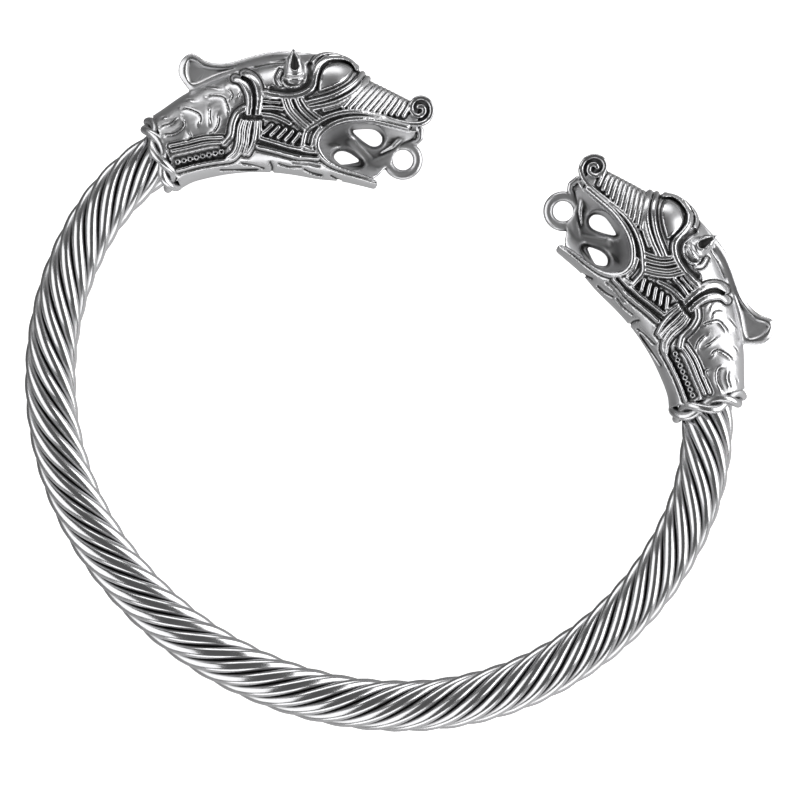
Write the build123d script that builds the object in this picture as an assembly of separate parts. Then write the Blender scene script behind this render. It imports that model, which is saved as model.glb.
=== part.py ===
from build123d import *

import os
from math import atan2, ceil, cos, pi, radians, sin

# Sizes are in millimetres and angles in degrees.
# The ring lies flat: +Z is up, the gap between the heads faces +Y,
# and the origin is the middle of the wrist opening.

# Cable of round strands wound on a core
strand_count = 8
strand_diameter = 1.31
strand_gap = 0.03
lay_length = 23.0
strand_sides = 8
stations_per_turn = 16
helix_radius = 2.07

# Middle line of the hoop, from its back to each head
back_distance = 34.75
back_radius = 38.05
back_sweep = 30.0
left_side_radius = 31.44
left_side_sweep = 62.8
left_end_radius = 21.86
right_side_radius = 32.46
right_side_sweep = 62.7
right_end_radius = 26.0
end_heading = 122.0

# Socket in each head, which the cable is soldered into
socket_tilt = 30.8
socket_depth = 5.0
socket_clearance = 0.06
socket_floor_gap = 0.4
collar_wall = 0.75
collar_side_wall = 0.7
collar_tilt = 21.4

# Head casting
head_length = 28.0
head_height = 14.0
head_half_width = 4.3
oval_end = 0.62
relief_height = 0.3
lip_width = 0.46
lip_margin = 0.16
ribbon_width = 0.42
rib_width = 0.3
bead_radius = 0.27
snout_ribs = 10
hatch_ridges = 5
border_beads = 8
web_thickness = 1.1

# Crest, scroll, tongue loop, eye, ear and fang. The seats of eye and ear are shares of the head's
# half width, the ends of the scroll's groove shares of its radius, and the hollow of the ear shares of it.
crest_thickness = 1.7
crest_panel_depth = 0.35
scroll_radius = 1.37
scroll_half_width = 1.75
scroll_groove_width = 0.26
scroll_groove_depth = 0.4
scroll_groove_start = 0.74
scroll_groove_end = 0.16
scroll_groove_steps = 14
scroll_turns = 1.3
loop_hole_radius = 1.1
loop_wire_radius = 0.47
loop_ream = 0.06
tongue_radius = 0.72
tongue_tip_radius = 0.5
eye_length = 3.2
eye_height = 2.5
eye_depth = 2.6
eye_seat = 0.6
eye_slope = 0.35
ear_height = 3.1
ear_base_radius = 1.15
ear_tip_radius = 0.12
ear_hollow = 0.55
ear_hollow_rise = 0.12
ear_hollow_shares = (0.7, 0.7, 0.72)
ear_seat = 0.66
ear_lean = 14.0
fang_radius = 0.42
fang_tip_radius = 0.12
fang_proud = 0.12
tooth_radius = 0.55

# Collar band and the rope round it
collar_band_half = 1.0
collar_band_rise = 0.2
rope_radius = 0.42
rope_lobes = 12
rope_lobe_length = 2.6
rope_slant = 35.0

# Sections of the head's rounded body, from the neck to the nose.
# along and half_height follow the head's length and height, and half_width its half width.
BODY_SECTIONS = [
    {"along": 0.132, "up": 0.139, "tilt": 22.0, "half_height": 0.314, "half_width": 0.91},
    {"along": 0.296, "up": 0.246, "tilt": 12.0, "half_height": 0.382, "half_width": 0.95},
    {"along": 0.475, "up": 0.293, "tilt": 0.0, "half_height": 0.454, "half_width": 1.0},
    {"along": 0.629, "up": 0.279, "tilt": 0.0, "half_height": 0.474, "half_width": 0.98},
    {"along": 0.729, "up": 0.207, "tilt": 0.0, "half_height": 0.434, "half_width": 0.86},
    {"along": 0.843, "up": 0.125, "tilt": 0.0, "half_height": 0.366, "half_width": 0.64},
    {"along": 0.980, "up": 0.064, "tilt": 0.0, "half_height": 0.292, "half_width": 0.46},
]

# Outlines seen from the side: shares of the head's length and height.
MOUTH_EDGE = [
    (0.796, -0.188), (0.745, -0.148), (0.685, -0.122), (0.640, -0.085), (0.605, -0.020), (0.590, 0.075),
    (0.608, 0.145), (0.650, 0.200), (0.715, 0.234), (0.786, 0.234), (0.857, 0.203), (0.930, 0.168),
]
MOUTH_FRONT = [(0.945, 0.560), (1.150, 0.560), (1.150, -0.400), (0.798, -0.400)]
OUTER_LIP_SPAN = (3, 11)
WEB_OUTLINE = [
    (0.560, 0.050), (0.640, 0.240), (0.780, 0.270), (0.930, 0.200), (0.925, 0.130), (0.885, 0.070),
    (0.870, -0.020), (0.830, -0.112), (0.780, -0.185), (0.690, -0.165), (0.600, -0.100),
]
UPPER_HOLE = [
    (0.713, 0.164), (0.735, 0.186), (0.786, 0.186), (0.821, 0.136), (0.817, 0.080), (0.793, 0.058),
    (0.758, 0.092),
]
LOWER_HOLE = [
    (0.640, -0.010), (0.661, 0.025), (0.696, 0.011), (0.740, -0.055), (0.731, -0.084), (0.675, -0.083),
    (0.648, -0.044),
]
CREST_OUTLINE = [
    (0.101, 0.470), (0.060, 0.581), (0.056, 0.651), (0.067, 0.714), (0.091, 0.755), (0.115, 0.759),
    (0.154, 0.706), (0.195, 0.686), (0.244, 0.690), (0.300, 0.720), (0.349, 0.751), (0.404, 0.771),
    (0.466, 0.776), (0.543, 0.759), (0.620, 0.735),
]
CREST_BASE = [(0.560, 0.560), (0.300, 0.480), (0.101, 0.400)]
CREST_PANEL = [
    (0.091, 0.707), (0.085, 0.600), (0.110, 0.525), (0.200, 0.595), (0.290, 0.655), (0.215, 0.652),
    (0.155, 0.672), (0.118, 0.715),
]

# Raised bands on both cheeks: the width's name, then the middle line's points.
RAISED_BANDS = [
    ("lip", [(0.730, 0.632), (0.690, 0.690), (0.651, 0.719), (0.613, 0.720), (0.582, 0.690), (0.568, 0.629),
             (0.562, 0.562), (0.547, 0.504), (0.517, 0.463), (0.479, 0.448), (0.440, 0.460), (0.404, 0.490)]),
    ("ribbon", [(0.757, 0.600), (0.709, 0.523), (0.661, 0.456), (0.613, 0.413), (0.560, 0.392)]),
    ("ribbon", [(0.766, 0.556), (0.718, 0.472), (0.670, 0.404), (0.622, 0.356), (0.575, 0.332)]),
    ("ribbon", [(0.445, 0.400), (0.464, 0.303), (0.498, 0.220), (0.531, 0.165)]),
    ("ribbon", [(0.469, 0.410), (0.493, 0.322), (0.527, 0.255), (0.560, 0.208)]),
    ("ribbon", [(0.493, 0.418), (0.520, 0.345), (0.556, 0.290), (0.590, 0.250)]),
    ("ribbon", [(0.258, 0.581), (0.300, 0.554), (0.327, 0.484), (0.334, 0.387), (0.332, 0.262)]),
    ("ribbon", [(0.293, 0.612), (0.336, 0.585), (0.364, 0.512), (0.368, 0.415), (0.362, 0.262)]),
    ("ribbon", [(0.320, 0.340), (0.290, 0.290), (0.271, 0.220), (0.263, 0.137), (0.237, 0.075)]),
    ("ribbon", [(0.312, 0.262), (0.300, 0.137), (0.290, 0.025), (0.255, -0.016)]),
    ("ribbon", [(0.336, 0.262), (0.326, 0.137), (0.314, 0.020)]),
    ("ribbon", [(0.362, 0.262), (0.356, 0.137), (0.338, 0.020)]),
    ("rib", [(0.375, 0.440), (0.400, 0.446), (0.428, 0.440)]),
    ("rib", [(0.378, 0.392), (0.405, 0.398), (0.436, 0.390)]),
    ("rib", [(0.378, 0.344), (0.408, 0.348), (0.446, 0.336)]),
    ("rib", [(0.378, 0.296), (0.410, 0.298), (0.458, 0.278)]),
    ("ribbon", [(0.362, 0.109), (0.432, 0.067), (0.525, 0.030)]),
    ("ribbon", [(0.362, 0.045), (0.439, 0.005), (0.530, -0.030)]),
    ("rib", [(0.072, 0.048), (0.115, 0.068), (0.168, 0.082), (0.237, 0.080)]),
    ("rib", [(0.090, -0.108), (0.140, -0.082), (0.195, -0.060), (0.270, -0.038)]),
]

# Rows of like ridges: the first and last ridge's lower and upper ends.
SNOUT_RIB_LINES = {
    "low_first": (0.690, 0.330), "low_last": (0.905, 0.262),
    "high_first": (0.782, 0.640), "high_last": (0.940, 0.430),
}
HATCH_LINES = {
    "low_first": (0.376, 0.150), "low_last": (0.487, 0.100),
    "high_first": (0.402, 0.215), "high_last": (0.518, 0.155),
}
BEAD_ROW = {"first": (0.092, -0.040), "last": (0.235, 0.014)}

# Places of the head's small forms
SCROLL_PLACE = (0.960, 0.331)
LOOP_PLACE = (0.898, -0.041)
EYE_PLACE = (0.640, 0.582)
EAR_PLACE = (0.489, 0.560)
TONGUE_ROOT = (0.722, -0.128)
TONGUE_TIP = (0.846, -0.024)
FANG_ROOT = (0.908, 0.140)
FANG_TIP = (0.822, 0.024)
TOOTH_PLACE = (0.940, 0.135)
BAND_WIDTHS = {"lip": lip_width, "ribbon": ribbon_width, "rib": rib_width}

# Sizes that follow from the ones above
strand_radius = strand_diameter / 2
cable_radius = helix_radius + strand_radius
facet_turn = 2 * pi / stations_per_turn
core_radius = helix_radius * cos(facet_turn / 2) - strand_radius - strand_gap
socket_radius = cable_radius + socket_clearance
socket_run = socket_depth - socket_floor_gap
head_angle = 180 - end_heading - socket_tilt
loop_ring_radius = loop_hole_radius - loop_ream + loop_wire_radius
FROM_BASE = (Align.CENTER, Align.CENTER, Align.MIN)


def side_runs(side_radius, side_sweep, end_radius):
    """The curved runs from the back of the hoop to one collar, then the straight run in its socket."""
    runs = [(back_radius, back_sweep), (side_radius, side_sweep)]
    runs.append((end_radius, end_heading - back_sweep - side_sweep))
    return [(radius, radians(turn), radius * radians(turn)) for radius, turn in runs]


RIGHT_RUNS = side_runs(right_side_radius, right_side_sweep, right_end_radius)
LEFT_RUNS = side_runs(left_side_radius, left_side_sweep, left_end_radius)
RIGHT_LENGTH = sum(length for radius, turn, length in RIGHT_RUNS)
LEFT_LENGTH = sum(length for radius, turn, length in LEFT_RUNS)


def walk(runs, distance):
    """The place and heading at a distance from the back, straight on past the last curve."""
    x, y, heading = 0.0, -back_distance, 0.0
    for radius, full_turn, length in runs:
        turn = min(max(distance, 0.0), length) / radius
        x += radius * (sin(heading + turn) - sin(heading))
        y -= radius * (cos(heading + turn) - cos(heading))
        heading += turn
        distance -= length
    straight = max(distance, 0.0)
    return x + straight * cos(heading), y + straight * sin(heading), heading


def hoop_frame(distance):
    """A point of the hoop's middle line with its forward and outward directions."""
    if distance >= 0:
        x, y, heading = walk(RIGHT_RUNS, distance)
    else:
        x, y, heading = walk(LEFT_RUNS, -distance)
        x, heading = -x, -heading
    forward = Vector(cos(heading), sin(heading), 0)
    outward = Vector(sin(heading), -cos(heading), 0)
    return Vector(x, y, 0), forward, outward


def strand_section(distance, phase):
    """The corners of one strand's section, square to its helix."""
    middle, forward, outward = hoop_frame(distance)
    angle = 2 * pi * distance / lay_length + phase
    up = Vector(0, 0, 1)
    spoke = outward * cos(angle) + up * sin(angle)
    around = up * cos(angle) - outward * sin(angle)
    advance = forward * lay_length + around * (2 * pi * helix_radius)
    across = advance.normalized().cross(spoke)
    centre = middle + spoke * helix_radius
    corners = []
    for side in range(strand_sides):
        turn = 2 * pi * side / strand_sides
        corners.append(centre + spoke * (strand_radius * cos(turn)) + across * (strand_radius * sin(turn)))
    return corners


def faceted_tube(sections):
    """A closed solid of flat triangles through a row of sections."""
    faces = [Face(Wire.make_polygon(sections[0])), Face(Wire.make_polygon(sections[-1]))]
    count = len(sections[0])
    for near, far in zip(sections, sections[1:]):
        for first in range(count):
            second = (first + 1) % count
            faces.append(Face(Wire.make_polygon([near[first], near[second], far[second]])))
            faces.append(Face(Wire.make_polygon([near[first], far[second], far[first]])))
    return Solid(Shell(faces))


def make_strand(number):
    """One round wire of the cable, from socket to socket."""
    phase = 2 * pi * number / strand_count
    start = -(LEFT_LENGTH + socket_run)
    length = LEFT_LENGTH + RIGHT_LENGTH + 2 * socket_run
    steps = ceil(length / lay_length * stations_per_turn)
    return faceted_tube([strand_section(start + length * step / steps, phase) for step in range(steps + 1)])


def make_core():
    """The plain wire in the middle of the cable."""
    marks = [-(LEFT_LENGTH + socket_run), -LEFT_LENGTH]
    for runs, sign in ((LEFT_RUNS, -1), (RIGHT_RUNS, 1)):
        reach = 0.0
        for radius, turn, length in runs[:-1]:
            reach += length
            marks.append(sign * reach)
    marks += [RIGHT_LENGTH, RIGHT_LENGTH + socket_run]
    marks.sort()
    edges = []
    for near, far in zip(marks, marks[1:]):
        first, middle, last = [hoop_frame(mark)[0] for mark in (near, (near + far) / 2, far)]
        straight = near < -LEFT_LENGTH or far > RIGHT_LENGTH
        edges.append(Line(first, last) if straight else ThreePointArc(first, middle, last))
    start, forward, outward = hoop_frame(marks[0])
    return sweep(Plane(start, z_dir=forward) * Circle(core_radius), Wire(edges))


def head_point(place, side=0.0):
    """A point of the head's own frame from shares of its length and height."""
    along, up = place
    return Vector(along * head_length, up * head_height, side)


def oval_wire(centre, tilt, half_height, half_width):
    """A tangent oval of four arcs, square to a line that climbs at the tilt."""
    end_radius = oval_end * half_width
    square_sum = half_width**2 + half_height**2
    side_radius = (square_sum - 2 * half_height * end_radius) / (2 * (half_width - end_radius))
    lean = atan2(half_height - end_radius, side_radius - half_width)
    join_side = side_radius * cos(lean) - (side_radius - half_width)
    join_up = side_radius * sin(lean)
    up = Vector(-sin(radians(tilt)), cos(radians(tilt)), 0)
    side = Vector(0, 0, 1)

    def spot(rise, out):
        return centre + up * rise + side * out

    return Wire([
        ThreePointArc(spot(join_up, -join_side), spot(half_height, 0), spot(join_up, join_side)),
        ThreePointArc(spot(join_up, join_side), spot(0, half_width), spot(-join_up, join_side)),
        ThreePointArc(spot(-join_up, join_side), spot(-half_height, 0), spot(-join_up, -join_side)),
        ThreePointArc(spot(-join_up, -join_side), spot(0, -half_width), spot(join_up, -join_side)),
    ])


def head_body(grow):
    """The head's rounded body, grown all over by a given amount."""
    rise = socket_radius + collar_wall + grow
    out = socket_radius + collar_side_wall + grow
    wires = [oval_wire(Vector(0, 0, 0), collar_tilt, rise, out)]
    for row in BODY_SECTIONS:
        centre = head_point((row["along"], row["up"]))
        half_height = row["half_height"] * head_height + grow
        half_width = row["half_width"] * head_half_width + grow
        wires.append(oval_wire(centre, row["tilt"], half_height, half_width))
    return Solid.make_loft(wires)


def smooth_face(points):
    """A face inside one closed smooth outline."""
    return make_face(Spline(*points, periodic=True))


def band_face(points, width, shift=0.0):
    """A flat band of even width along a smooth line, or shifted to the left of it."""
    line = Spline(*points)
    steps = 2 * len(points)
    left, right = [], []
    for step in range(steps + 1):
        share = step / steps
        direction = line % share
        across = Vector(-direction.Y, direction.X, 0)
        left.append(line @ share + across * (shift + width / 2))
        right.append(line @ share + across * (shift - width / 2))
    right.reverse()
    return make_face([Spline(*left), Line(left[-1], right[0]), Spline(*right), Line(right[-1], left[0])])


def between(first, last, share):
    """A place part of the way from one place to another."""
    return tuple(a + (b - a) * share for a, b in zip(first, last))


def ridge_row(lines, count):
    """Like ridges side by side, each a straight band."""
    faces = []
    for number in range(count):
        share = number / (count - 1)
        low = head_point(between(lines["low_first"], lines["low_last"], share))
        high = head_point(between(lines["high_first"], lines["high_last"], share))
        faces.append(band_face([low, high], rib_width))
    return faces


def band_outlines():
    """The outlines of the lips, bands and snout ribs, seen from the side, each connected one apart."""
    edge = [head_point(place) for place in MOUTH_EDGE]
    inner_lip = lip_margin + lip_width / 2
    outer_lip = inner_lip + lip_width + lip_margin
    faces = [band_face(edge, lip_width, inner_lip)]
    faces.append(band_face(edge[slice(*OUTER_LIP_SPAN)], lip_width, outer_lip))
    for name, places in RAISED_BANDS:
        faces.append(band_face([head_point(place) for place in places], BAND_WIDTHS[name]))
    faces += ridge_row(SNOUT_RIB_LINES, snout_ribs)
    return (Sketch() + faces).faces()


def bead_outlines():
    """The row of small beads along the neck's border."""
    faces = []
    for number in range(border_beads):
        place = between(BEAD_ROW["first"], BEAD_ROW["last"], number / (border_beads - 1))
        faces.append(Location(head_point(place)) * Circle(bead_radius))
    return faces


def relief_pieces():
    """The raised ornament on both cheeks, cut from the grown body."""
    grown = Part() + head_body(relief_height)
    outlines = band_outlines()
    outlines.append(Sketch() + ridge_row(HATCH_LINES, hatch_ridges))
    outlines.append(Sketch() + bead_outlines())
    return [grown & slab(outline, 3 * head_half_width) for outline in outlines]


def slab(face, half_thickness):
    """A flat outline made solid on both sides of the middle plane."""
    return extrude(Location((0, 0, -half_thickness)) * face, 2 * half_thickness)


def tapered_bar(start, end, start_radius, end_radius):
    """A tapering round bar between two points, with ball ends."""
    reach = end - start
    plane = Plane(start, z_dir=reach)
    bar = plane * Cone(start_radius, end_radius, reach.length, align=FROM_BASE)
    return bar + Location(start) * Sphere(start_radius) + Location(end) * Sphere(end_radius)


def crest():
    """The swept-back crest, a plate with a rim round a sunken panel on each side."""
    outline = [head_point(place) for place in CREST_OUTLINE]
    base = [head_point(place) for place in CREST_BASE]
    plate = slab(make_face([Spline(*outline), Polyline(outline[-1], *base, outline[0])]), crest_thickness / 2)
    panel = smooth_face([head_point(place) for place in CREST_PANEL])
    floor = crest_thickness / 2 - crest_panel_depth
    for side in (1, -1):
        plate -= extrude(Location((0, 0, side * floor)) * panel, side * crest_panel_depth * 2)
    return plate


def scroll():
    """The rolled tip of the nose, with a spiral groove in each end."""
    centre = head_point(SCROLL_PLACE)
    roll = Location(centre) * Cylinder(scroll_radius, 2 * scroll_half_width)
    points = []
    for step in range(scroll_groove_steps + 1):
        share = step / scroll_groove_steps
        angle = -pi / 2 + 2 * pi * scroll_turns * share
        reach = scroll_radius * (scroll_groove_start + (scroll_groove_end - scroll_groove_start) * share)
        points.append(centre + Vector(cos(angle), sin(angle), 0) * reach)
    groove = band_face(points, scroll_groove_width)
    for side in (1, -1):
        floor = scroll_half_width - scroll_groove_depth
        roll -= extrude(Location((0, 0, side * floor)) * groove, side * scroll_groove_depth * 2)
    return roll


def ear(side):
    """One pointed ear, hollow in front, leaning out from the skull."""
    seat = head_point(EAR_PLACE, side * ear_seat * head_half_width)
    cone = Cone(ear_base_radius, ear_tip_radius, ear_height, align=FROM_BASE)
    hollow = Location((ear_hollow, 0, ear_hollow_rise * ear_height)) * scale(cone, by=ear_hollow_shares)
    lean = radians(ear_lean)
    plane = Plane(seat, x_dir=(0, 0, side), z_dir=(0, cos(lean), side * sin(lean)))
    return plane * cone, plane * hollow


def eye(side):
    """One smooth swelling eye."""
    ball = scale(Sphere(1), by=(eye_length / 2, eye_height / 2, eye_depth / 2))
    seat = head_point(EYE_PLACE, side * eye_seat * head_half_width)
    return Plane(seat, x_dir=(1, eye_slope, 0), z_dir=(0, 0, 1)) * ball


def collar():
    """The band round the socket's mouth, with the lobes of its twisted rope."""
    up = Vector(-sin(radians(collar_tilt)), cos(radians(collar_tilt)), 0)
    forward = Vector(cos(radians(collar_tilt)), sin(radians(collar_tilt)), 0)
    rise = socket_radius + collar_wall + collar_band_rise
    out = socket_radius + collar_side_wall + collar_band_rise
    outline = oval_wire(forward * (-collar_band_half), collar_tilt, rise, out)
    band = extrude(make_face(outline), 2 * collar_band_half, dir=forward)
    lobes = []
    for number in range(rope_lobes):
        angle = 2 * pi * (number + 0.5) / rope_lobes
        seat = up * (rise * cos(angle)) + Vector(0, 0, out * sin(angle))
        around = (Vector(0, 0, out * cos(angle)) - up * (rise * sin(angle))).normalized()
        lay = around * cos(radians(rope_slant)) + forward * sin(radians(rope_slant))
        lobe = scale(Sphere(1), by=(rope_radius, rope_radius, rope_lobe_length / 2))
        lobes.append(Plane(seat, z_dir=lay) * lobe)
    return band.fuse(*lobes)


def tongue_loop():
    """The ring at the tip of the tongue, and the cutter of its hole."""
    centre = Location(head_point(LOOP_PLACE))
    ring = centre * Torus(loop_ring_radius, loop_wire_radius)
    return ring, centre * Cylinder(loop_hole_radius, 4 * loop_wire_radius)


def make_head():
    """One dragon-head terminal in its own frame: the collar at the origin and the nose along +X."""
    edge = [head_point(place) for place in MOUTH_EDGE]
    front = [head_point(place) for place in MOUTH_FRONT]
    mouth = make_face([Spline(*edge), Polyline(edge[-1], *front, edge[0])])
    web = slab(smooth_face([head_point(place) for place in WEB_OUTLINE]), web_thickness / 2)
    for hole in (UPPER_HOLE, LOWER_HOLE):
        web -= slab(smooth_face([head_point(place) for place in hole]), web_thickness)
    ring, ring_hole = tongue_loop()
    forms = [web, crest(), scroll(), ring, collar()]
    root, tip = head_point(TONGUE_ROOT), head_point(TONGUE_TIP)
    forms.append(tapered_bar(root, tip, tongue_radius, tongue_tip_radius))
    forms.append(Location(head_point(TOOTH_PLACE)) * Sphere(tooth_radius))
    hollows = [ring_hole]
    for side in (1, -1):
        root = head_point(FANG_ROOT, side * (web_thickness / 2 + fang_proud))
        tip = head_point(FANG_TIP, side * (web_thickness / 2 + fang_proud))
        ear_form, ear_hole = ear(side)
        forms += [tapered_bar(root, tip, fang_radius, fang_tip_radius), eye(side), ear_form]
        hollows.append(ear_hole)
    into = Vector(cos(radians(socket_tilt)), sin(radians(socket_tilt)), 0)
    bore = Cylinder(socket_radius, socket_depth + 2 * collar_wall, align=FROM_BASE)
    hollows.append(Plane(into * (-2 * collar_wall), z_dir=into) * bore)
    head = Part() + head_body(0.0) - slab(mouth, 3 * head_half_width)
    for form in forms + relief_pieces():
        head = head.fuse(form)
    for hollow in hollows:
        head = head.cut(hollow)
    return head


def place_head(head, runs, mirrored):
    """Set a head on one end of the hoop."""
    reach = sum(length for radius, turn, length in runs)
    x, y, heading = walk(runs, reach)
    if mirrored:
        return Location((x, y, 0), (0, 180, 0)) * Rotation(0, 0, head_angle) * head
    return Location((-x, y, 0)) * Rotation(0, 0, head_angle) * head


def main():
    """Build every piece and write each one to its own file."""
    os.makedirs("parts", exist_ok=True)
    head = make_head()
    pieces = {"head_left": place_head(head, LEFT_RUNS, False)}
    pieces["head_right"] = place_head(head, RIGHT_RUNS, True)
    pieces["core"] = make_core()
    for number in range(strand_count):
        pieces[f"strand_{number + 1}"] = make_strand(number)
    for name, piece in pieces.items():
        export_step(piece, f"parts/{name}.step")


main()
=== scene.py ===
from math import cos, pi, radians, sin

import bmesh
import bpy
import numpy as np
import openvdb as vdb
from mathutils import Matrix, Vector


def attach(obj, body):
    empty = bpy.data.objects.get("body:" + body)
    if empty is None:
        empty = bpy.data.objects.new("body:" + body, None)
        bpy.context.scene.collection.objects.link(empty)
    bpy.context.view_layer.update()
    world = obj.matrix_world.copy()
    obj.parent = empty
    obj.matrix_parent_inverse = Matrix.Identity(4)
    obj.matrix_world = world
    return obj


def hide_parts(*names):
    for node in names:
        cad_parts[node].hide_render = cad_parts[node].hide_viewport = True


# Sizes are in millimetres and angles in degrees, in the part's own frame.
# The heads are built in a frame of their own: the collar at the origin,
# the nose along +u, the crest along +v and the cheeks at +w and -w.

MM = 0.001

# Cable
strand_count = 8
strand_diameter = 1.31
lay_length = 23.0
helix_radius = 2.07
strand_sides = 14
stations_per_turn = 44
back_distance = 34.75
side_runs = {
    "left": [(38.05, 30.0), (31.44, 62.8), (21.86, 29.2)],
    "right": [(38.05, 30.0), (32.46, 62.7), (26.0, 29.3)],
}
socket_run = 4.6

# Heads
head_angle = 27.2
GRID_LOW = (-2.8, -5.6, 0.0)
GRID_HIGH = (29.2, 12.0, 5.7)
voxel = 0.11
head_triangles = 190000
cheek_power = 2.25
snout_end = 26.7
head_end = 28.9
neck_end = 0.4
socket_radius = 2.785
socket_tilt = 30.8
socket_depth = 5.0

# Crest plate
crest_half = 0.85
crest_panel_depth = 0.28
crest_edge_taper = 0.2
crest_fillet = 0.25

# Mouth: the web between its holes, and how softly the cheeks dip to it
web_half = 0.5
bowl_reach = 2.3
hole_rim_share = 0.35
hole_rim_reach = 0.5

# Collar and the rope of two strands round it
collar_tilt = 21.4
collar_rise = 3.5
collar_out = 3.45
rope_twists = 3.5
rope_strand_radius = 0.47
rope_lift = 0.32
rope_spread = 0.56
rope_back = 0.35
sleeve_sink = 0.25
sleeve_half = 0.2

# Eye
EYE_CENTRE = (18.0, 8.05)
eye_rise = 0.78
eye_lean = 24.0
eye_long = 2.55
eye_tall = 2.0
eye_groove_depth = 0.1
eye_groove_half = 0.15

# Cast ornament
moat_depth = 0.2
moat_offset = 0.15
moat_half = 0.17
row_bow = (0.12, 0.1)
groove_keep = 0.2
least_cut = 0.02
leaf_rise = 0.65
leaf_cut = 0.8
leaf_fade = 0.5
bead_pit_depth = 0.5

# Darkening of sunken places, as patina and painted shade: reach of the blur in grid steps, then strengths
blur_reach = 2
hollow_scale = 0.075
mouth_shade = 0.55
ear_shade = 0.9
wire_shade_start = 0.45
wire_shade_span = 0.5
wire_shade_least = -0.35

# Camera and floor
photo_field = 84.2
photo_turn = 27.2
photo_centre = (1.302, -2.906)
camera_height = 1200.0
sensor = 36.0
floor_front = (14.0, -4.62)
floor_back = (-34.75, -2.76)
floor_size = 3000.0
FLOOR_COLOUR = (0.93, 0.93, 0.93, 1)
floor_roughness = 0.9
floor_gloss = 0.1
floor_glow = 0.85

# Steel: its colour where it is bright, and how it dulls and darkens in sunken places, with patina and
# painted shade
STEEL_COLOUR = (0.58, 0.58, 0.59, 1)
# Painted shade: the core's near-black colour darkens the slits between the wires.
CORE_PAINTED_SHADE = (0.05, 0.05, 0.05, 1)
core_roughness = 0.45
steel_ior = 2.5
SHADE_RAMP = (0.16, 0.95)
recess_roughness = 0.25
roughness_below = 0.05
roughness_above = 0.09
grain_detail = 4.0
grain_bump = 0.12
grain_height = 0.00004

# Studio walls: brightness of the ground, dark side then pale side, and of the sky, low then high
pale_azimuth = -17.8
GROUND_RANGE = (-0.8, 0.8)
GROUND_LIGHT = (0.15, 0.78)
SKY_RANGE = (0.0, 0.7)
SKY_LIGHT = (0.45, 0.125)
HORIZON_RANGE = (-0.06, 0.06)

# Softboxes: azimuth, elevation, distance in metres, width, height, power
SOFTBOXES = {
    "left_box": (207.2, 41, 0.9, 1.2, 0.85, 5.4),
    "right_box": (27.2, 24, 0.9, 1.2, 0.75, 8.6),
    "far_box": (117.2, 13, 0.9, 1.0, 0.4, 2.6),
    "near_box": (297.2, 18, 0.9, 1.1, 0.45, 2.8),
}

# The head's outline from the side, without crest and scroll, and its half width
TOP_LINE = [
    (-2.6, 3.2), (-0.4, 4.6), (1.6, 6.0), (3.0, 6.8), (5.0, 7.7), (8.2, 8.9), (11.3, 9.8), (14.0, 10.4),
    (17.2, 10.5), (19.1, 10.0), (20.3, 9.1), (21.4, 8.1), (23.0, 7.3), (24.9, 6.3), (26.1, 5.6),
    (28.0, 4.9),
]
BOTTOM_LINE = [
    (-2.6, -4.9), (0.4, -4.2), (1.6, -3.7), (3.1, -2.9), (5.5, -2.3), (7.8, -1.95), (10.5, -1.85),
    (13.3, -2.1), (16.2, -2.6), (18.7, -2.85), (21.1, -3.4), (22.5, -3.7), (28.0, -4.5),
]
WIDTH_LINE = [
    (-2.6, 3.7), (0.0, 3.75), (3.7, 3.9), (8.3, 4.1), (13.3, 4.25), (17.6, 4.15), (20.4, 3.6),
    (23.6, 2.6), (28.0, 1.9),
]

MOUTH_EDGE = [
    (22.35, -2.75), (20.9, -2.15), (19.2, -1.65), (17.9, -1.1), (16.95, -0.3), (16.5, 1.0),
    (17.0, 2.1), (18.2, 2.9), (20.0, 3.35), (22.0, 3.3), (24.0, 2.85), (26.1, 2.4),
]
MOUTH_FRONT = [(29.5, 2.4), (29.5, -6.0), (21.5, -6.0), (21.85, -3.8), (22.3, -3.5), (22.5, -3.1)]
WEB_OUTLINE = [
    (15.7, 0.7), (17.9, 3.4), (21.8, 3.8), (26.0, 2.8), (26.2, 1.8), (24.8, 1.0),
    (24.3, -0.3), (23.2, -1.5), (21.8, -2.6), (19.3, -2.3), (16.8, -1.4),
]
UPPER_HOLE = [
    (19.9, 2.4), (20.6, 2.65), (22.1, 2.6), (22.9, 1.9), (22.8, 1.15), (22.1, 0.85), (21.2, 1.25),
]
LOWER_HOLE = [
    (17.9, -0.1), (18.5, 0.35), (19.5, 0.15), (20.7, -0.75), (20.5, -1.15), (18.9, -1.15), (18.1, -0.6),
]
CREST_OUTLINE = [
    (2.8, 6.6), (1.7, 8.1), (1.55, 9.1), (1.9, 10.0), (2.55, 10.55), (3.2, 10.6), (4.3, 9.9), (5.5, 9.6),
    (6.8, 9.65), (8.4, 10.1), (9.8, 10.5), (11.3, 10.8), (13.1, 10.85), (15.2, 10.65), (17.4, 10.3),
]
CREST_BASE = [(15.7, 7.8), (8.4, 6.7), (2.8, 5.6)]
CREST_PANEL = [
    (2.5, 9.95), (2.3, 8.4), (3.1, 7.3), (5.7, 8.35), (8.2, 9.2), (6.1, 9.15), (4.3, 9.35), (3.3, 10.0),
]
EYE_RIM = [
    (16.25, 6.5), (16.35, 7.9), (16.75, 8.95), (17.55, 9.5), (18.6, 9.65), (19.5, 9.35), (19.95, 8.8),
    (19.3, 7.75), (18.3, 7.1), (17.15, 6.65),
]
SPIRAL = [
    (22.6, 4.0), (23.5, 3.75), (24.5, 3.45), (25.7, 3.2), (26.9, 3.2), (27.75, 3.6), (28.2, 4.5),
    (27.95, 5.45), (27.2, 5.95), (26.4, 5.75), (26.0, 5.0), (26.3, 4.25), (26.95, 4.05), (27.4, 4.5),
    (27.2, 5.0), (26.8, 5.0),
]

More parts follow.
